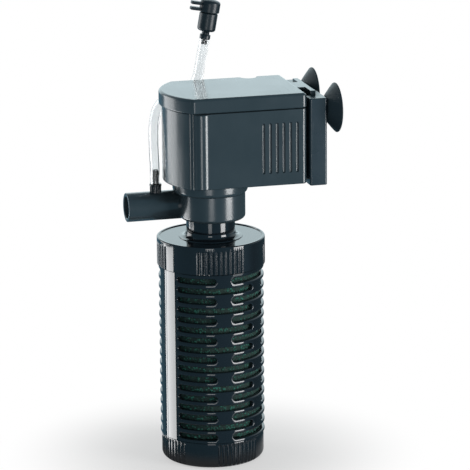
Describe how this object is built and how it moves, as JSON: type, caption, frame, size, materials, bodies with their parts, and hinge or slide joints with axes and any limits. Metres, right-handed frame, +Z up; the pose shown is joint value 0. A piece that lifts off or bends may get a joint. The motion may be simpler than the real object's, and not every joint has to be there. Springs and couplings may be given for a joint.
{
  "type": "canister filter",
  "caption": "Internal aquarium canister filter: slotted foam canister under a pump head with side outlet, air hose with valve, and a suction-cup bracket.",
  "frame": {"origin": "centre of the bottom cap's flat underside, on the canister's and the pump's common axis", "axes": "+Z up along that axis, +X towards the bracket and its suction cups, -X towards the outlet, -Y to the front"},
  "size_m": [0.1145, 0.0758, 0.261],
  "materials": {
    "glossy_black": "high-gloss moulded black plastic",
    "satin_slate": "satin moulded slate plastic with a fine spark texture",
    "bracket_slate": "satin moulded blue slate plastic",
    "valve_slate": "satin moulded dark plastic",
    "fitting_black": "satin moulded black plastic",
    "core_grey": "satin moulded dark grey plastic",
    "impeller_grey": "satin moulded light grey plastic",
    "bobbin_cream": "satin moulded cream plastic",
    "bush_graphite": "pressed graphite, matt",
    "ceramic_white": "ground white ceramic",
    "ferrite": "sintered ferrite, dull dark grey",
    "core_steel": "stacked steel laminations",
    "copper_wire": "enamelled copper wire",
    "seal_rubber": "matt black rubber",
    "cup_rubber": "matt dark moulded rubber",
    "green_foam": "open-cell foam, dark green",
    "clear_hose": "milky clear silicone"
  },
  "bodies": {
    "head": {"motor_housing": "satin_slate", "head_lid": "satin_slate", "stator_core": "core_steel", "coil_bobbin": "bobbin_cream", "coil_winding": "copper_wire", "well_bush": "bush_graphite", "rotor_shaft": "ceramic_white", "inlet_bush": "bush_graphite", "pump_volute": "satin_slate", "volute_seal": "seal_rubber", "cord_gland": "seal_rubber", "air_nozzle": "fitting_black", "air_hose": "clear_hose", "valve_body": "valve_slate"},
    "rotor": {"rotor_magnet": "ferrite", "impeller": "impeller_grey"},
    "canister_top": {"canister_head": "glossy_black", "neck_seal": "seal_rubber"},
    "cup": {"filter_cup": "glossy_black", "foam_sponge": "green_foam", "core_tube": "core_grey"},
    "base_cap": {"bottom_cap": "glossy_black"},
    "wall_bracket": {"bracket": "bracket_slate", "suction_cup_front": "cup_rubber", "suction_cup_rear": "cup_rubber"},
    "knob": {"valve_knob": "valve_slate"}
  },
  "joints": [
    {"name": "rotor_spin", "type": "hinge", "parent": "head", "child": "rotor", "pos_m": [0, 0, 0.17], "axis": [0, 0, 1], "continuous": true},
    {"name": "canister_swivel", "type": "hinge", "parent": "head", "child": "canister_top", "pos_m": [0, 0, 0.1428], "axis": [0, 0, 1], "continuous": true},
    {"name": "cup_twist", "type": "hinge", "parent": "canister_top", "child": "cup", "pos_m": [0, 0, 0.1191], "axis": [0, 0, 1], "range_deg": [0, 25]},
    {"name": "cap_twist", "type": "hinge", "parent": "cup", "child": "base_cap", "pos_m": [0, 0, 0.0104], "axis": [0, 0, 1], "range_deg": [0, 25]},
    {"name": "bracket_slide", "type": "slide", "parent": "head", "child": "wall_bracket", "axis": [0, 0, 1], "range_m": [0, 0.03]},
    {"name": "knob_turn", "type": "hinge", "parent": "head", "child": "knob", "pos_m": [0.006, 0.033, 0.2376], "axis": [0.1756, 0, 0.9845], "range_deg": [0, 180]}
  ]
}
